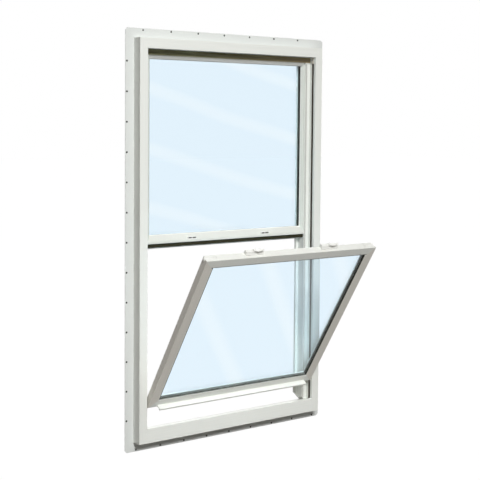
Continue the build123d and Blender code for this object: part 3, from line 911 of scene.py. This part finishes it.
def makeKeeper(side):
    look = keeperLook
    (left, front, low), (right, _, high) = (np.array(corner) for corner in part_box("keeper_" + side))
    low = low + look["foot"]
    turn = np.linspace(0.0, math.pi / 2, look["lipSteps"])
    outerInset = np.concatenate([[0.0], look["lip"] * (1 - np.cos(turn))])
    outerDepth = np.concatenate([[look["depth"] + look["skirt"]], look["lip"] * (1 - np.sin(turn))])
    middle, halfLength, halfTall = (left + right) / 2, (right - left) / 2, (high - low) / 2
    x, z = softRectangle(halfLength, halfTall, look["power"], look["points"])
    x, z = x / halfLength, z / halfTall
    outerX = middle + x * (halfLength - outerInset[:, None])
    outerZ = (low + high) / 2 + z * (halfTall - outerInset[:, None])
    slotHalf, slotMiddle = halfLength - look["wall"], high - look["roof"] - look["slotHeight"] / 2
    innerInset = outerInset[::-1]
    innerX = middle + x * (slotHalf + innerInset[:, None])
    innerZ = slotMiddle + z * (look["slotHeight"] / 2 + innerInset[:, None])
    depth = np.concatenate([outerDepth, outerDepth[::-1]])[:, None]
    rim = gridPoints(np.concatenate([outerX, innerX]), front + depth, np.concatenate([outerZ, innerZ]))
    buildPiece(side + "Keeper", [rim], hardwareWhite, "frame", ["keeper_" + side], ring=True)
    tall = look["slotHeight"] / 2
    webDepth = np.array([*look["webTop"], look["depth"]])[:, None]
    webHalf = look["webHalf"] - np.array([look["webEdge"], 0.0, 0.0])[:, None]
    web = gridPoints(middle + x * webHalf, front + webDepth, slotMiddle + z * (tall + look["webOver"]))
    buildPiece(side + "KeeperWeb", [web], hardwareWhite, "frame")
    # a near-black panel at the back of the slot: painted shade
    shadeDepth = np.array(look["shadeDepth"])[:, None]
    shade = gridPoints(middle + x * slotHalf, front + shadeDepth, slotMiddle + z * tall)
    buildPiece(side + "KeeperShade", [shade], slotPaintedShade, "frame")


for side in ("left", "right"):
    makeKeeper(side)
print("stage: keepers")

# track stop screw: a dome, height = rise times (1 + rim - r squared), with a cross pressed into it
screwLook = {
    "radius": 0.0034,
    "rise": 0.0012,
    "rim": 0.15,
    "sunk": 0.0005,
    "cross": 0.0006,
    "crossHalf": 0.00045,
    "crossReach": 0.0021,
    "sideFade": (0.7, 0.6),
    "endFade": (0.9, 0.2),
    "up": 0.002,
    "centre": 0.04,
    "rings": 26,
    "points": 72,
}


def makeScrew(side, sign):
    look = screwLook
    low, high = (np.array(corner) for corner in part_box(side + "_track_stop"))
    face = high[0] if sign < 0 else low[0]
    angle = np.arange(look["points"]) * 2 * math.pi / look["points"]
    radius = look["radius"] * np.linspace(look["centre"], 1.0, look["rings"])[:, None]
    across, upward = radius * np.cos(angle), radius * np.sin(angle)
    narrow = np.minimum(np.abs(across), np.abs(upward)) / look["crossHalf"]
    far = np.maximum(np.abs(across), np.abs(upward)) / look["crossReach"]
    besideCross = smoothStep((narrow - look["sideFade"][0]) / look["sideFade"][1])
    beyondCross = smoothStep((far - look["endFade"][0]) / look["endFade"][1])
    pressed = (1 - besideCross) * (1 - beyondCross)
    proud = look["rise"] * (1 + look["rim"] - (radius / look["radius"]) ** 2) - look["cross"] * pressed
    across = np.concatenate([across, across[-1:]])
    upward = np.concatenate([upward, upward[-1:]])
    proud = np.concatenate([proud, np.full_like(proud[-1:], -look["sunk"])])
    middle = (low + high) / 2
    loops = gridPoints(face - sign * proud, middle[1] + across, middle[2] + look["up"] + upward)
    buildPiece(side + "TrackStopScrew", [loops], pivotZinc, "frame")


makeScrew("left", -1)
makeScrew("right", 1)
print("stage: track stop screws")

# studio: pale floor, white surroundings, a large lamp high on the left, a weak one beside it and one behind
studio = {
    "floorLevel": cadBox[0][2] - 0.0005,
    "floorSize": 30.0,
    "floorColour": (0.15, 0.138, 0.125),
    "floorWhite": 0.94,
    "floorGlow": 1.066,
    "worldLight": 0.14,
    "worldColour": (1.0, 0.93, 0.87, 1.0),
    "keyPlace": (-2.03, -7.02, 5.77),
    "keyAim": (-0.5, 0.0, 0.35),
    "keySize": 2.9,
    "keySpread": math.radians(90.0),
    "keyPower": 190.0,
    "fillPlace": (-3.6, -2.2, 1.6),
    "fillAim": (0.0, 0.0, 0.8),
    "fillSize": 2.2,
    "fillSpread": math.pi,
    "fillPower": 0.6,
    "rearPlace": (3.2, 7.4, 4.6),
    "rearAim": (0.0, 0.0, 0.6),
    "rearSize": 3.0,
    "rearSpread": math.radians(90.0),
    "rearPower": 95.0,
}


# camera, glossy and transmission rays, as one mask
def seenRays(tree):
    path = addNode(tree, "ShaderNodeLightPath")
    first = calculate(tree, "MAXIMUM", path.outputs["Is Camera Ray"], path.outputs["Is Glossy Ray"])
    return calculate(tree, "MAXIMUM", first, path.outputs["Is Transmission Ray"])


def makeFloor():
    size = studio["floorSize"]
    grid = np.linspace(-size, size, 3)
    x, y = np.meshgrid(grid, grid)
    points = np.stack([x, y, np.full_like(x, studio["floorLevel"])], -1).reshape(-1, 3)
    corner = np.arange(6).reshape(2, 3)[:, :2].ravel()
    faces = np.stack([corner, corner + 1, corner + 4, corner + 3], -1)
    mesh = bpy.data.meshes.new("studioFloor")
    mesh.from_pydata(points.tolist(), [], faces.tolist())
    floor = bpy.data.objects.new("studioFloor", mesh)
    scene.collection.objects.link(floor)
    material, tree, shader = newMaterial("floorPale")
    shader.inputs["Base Color"].default_value = (*studio["floorColour"], 1.0)
    shader.inputs["Roughness"].default_value = 0.9
    shader.inputs["Specular IOR Level"].default_value = 0.0
    glow = put(addNode(tree, "ShaderNodeEmission"), Strength=studio["floorGlow"])
    mix = addNode(tree, "ShaderNodeMixShader")
    out = next(n for n in tree.nodes if n.type == "OUTPUT_MATERIAL")
    share = calculate(tree, "MULTIPLY", seenRays(tree), studio["floorWhite"])
    tree.links.new(share, mix.inputs["Fac"])
    tree.links.new(shader.outputs["BSDF"], mix.inputs[1])
    tree.links.new(glow.outputs["Emission"], mix.inputs[2])
    tree.links.new(mix.outputs["Shader"], out.inputs["Surface"])
    mesh.materials.append(material)


def makeWorld():
    world = bpy.data.worlds.new("studioWorld")
    scene.world = world
    world.use_nodes = True
    tree = world.node_tree
    tree.nodes.clear()
    out = addNode(tree, "ShaderNodeOutputWorld")
    white = put(addNode(tree, "ShaderNodeBackground"), Color=(1.0, 1.0, 1.0, 1.0), Strength=1.0)
    dim = addNode(tree, "ShaderNodeBackground")
    put(dim, Color=studio["worldColour"], Strength=studio["worldLight"])
    mix = addNode(tree, "ShaderNodeMixShader")
    tree.links.new(seenRays(tree), mix.inputs["Fac"])
    tree.links.new(dim.outputs["Background"], mix.inputs[1])
    tree.links.new(white.outputs["Background"], mix.inputs[2])
    tree.links.new(mix.outputs["Shader"], out.inputs["Surface"])


def makeLamp(kind):
    place, aim = Vector(studio[kind + "Place"]), Vector(studio[kind + "Aim"])
    data = bpy.data.lights.new(kind + "Lamp", "AREA")
    data.shape = "DISK"
    data.size = studio[kind + "Size"]
    data.spread = studio[kind + "Spread"]
    data.energy = studio[kind + "Power"]
    lamp = bpy.data.objects.new(kind + "Lamp", data)
    scene.collection.objects.link(lamp)
    lamp.location = place
    lamp.rotation_mode = "QUATERNION"
    lamp.rotation_quaternion = (aim - place).to_track_quat("-Z", "Y")


makeFloor()
makeWorld()
makeLamp("key")
makeLamp("fill")
makeLamp("rear")
scene.view_settings.view_transform = "Standard"
print("stage: studio set")

# camera: its place, and the turn and focal length (in pixels) that the photo's lines fit
cameraView = {
    "place": (-2.569375, -3.559275, 1.253593),
    "yaw": math.radians(36.396),
    "pitch": math.radians(3.5),
    "roll": math.radians(0.453),
    "focal": 1078.212,
    "imageWidth": 480.0,
    "sensor": 36.0,
    "axisRow": 190.811,
}


def makeCamera():
    view = cameraView
    yaw, pitch, roll = view["yaw"], view["pitch"], view["roll"]
    ahead = np.array([math.sin(yaw) * math.cos(pitch), math.cos(yaw) * math.cos(pitch), -math.sin(pitch)])
    right = np.array([math.cos(yaw), -math.sin(yaw), 0.0])
    up = np.cross(right, ahead)
    across = right * math.cos(roll) + up * math.sin(roll)
    over = up * math.cos(roll) - right * math.sin(roll)
    data = bpy.data.cameras.new("photoCamera")
    data.sensor_width = view["sensor"]
    data.lens = view["focal"] / view["imageWidth"] * view["sensor"]
    data.shift_y = (view["axisRow"] - view["imageWidth"] / 2) / view["imageWidth"]
    camera = bpy.data.objects.new("photoCamera", data)
    scene.collection.objects.link(camera)
    turn = np.eye(4)
    turn[:3, 0], turn[:3, 1], turn[:3, 2], turn[:3, 3] = across, over, -ahead, view["place"]
    camera.matrix_world = Matrix(turn.tolist())
    scene.camera = camera


makeCamera()
print("stage: camera set")
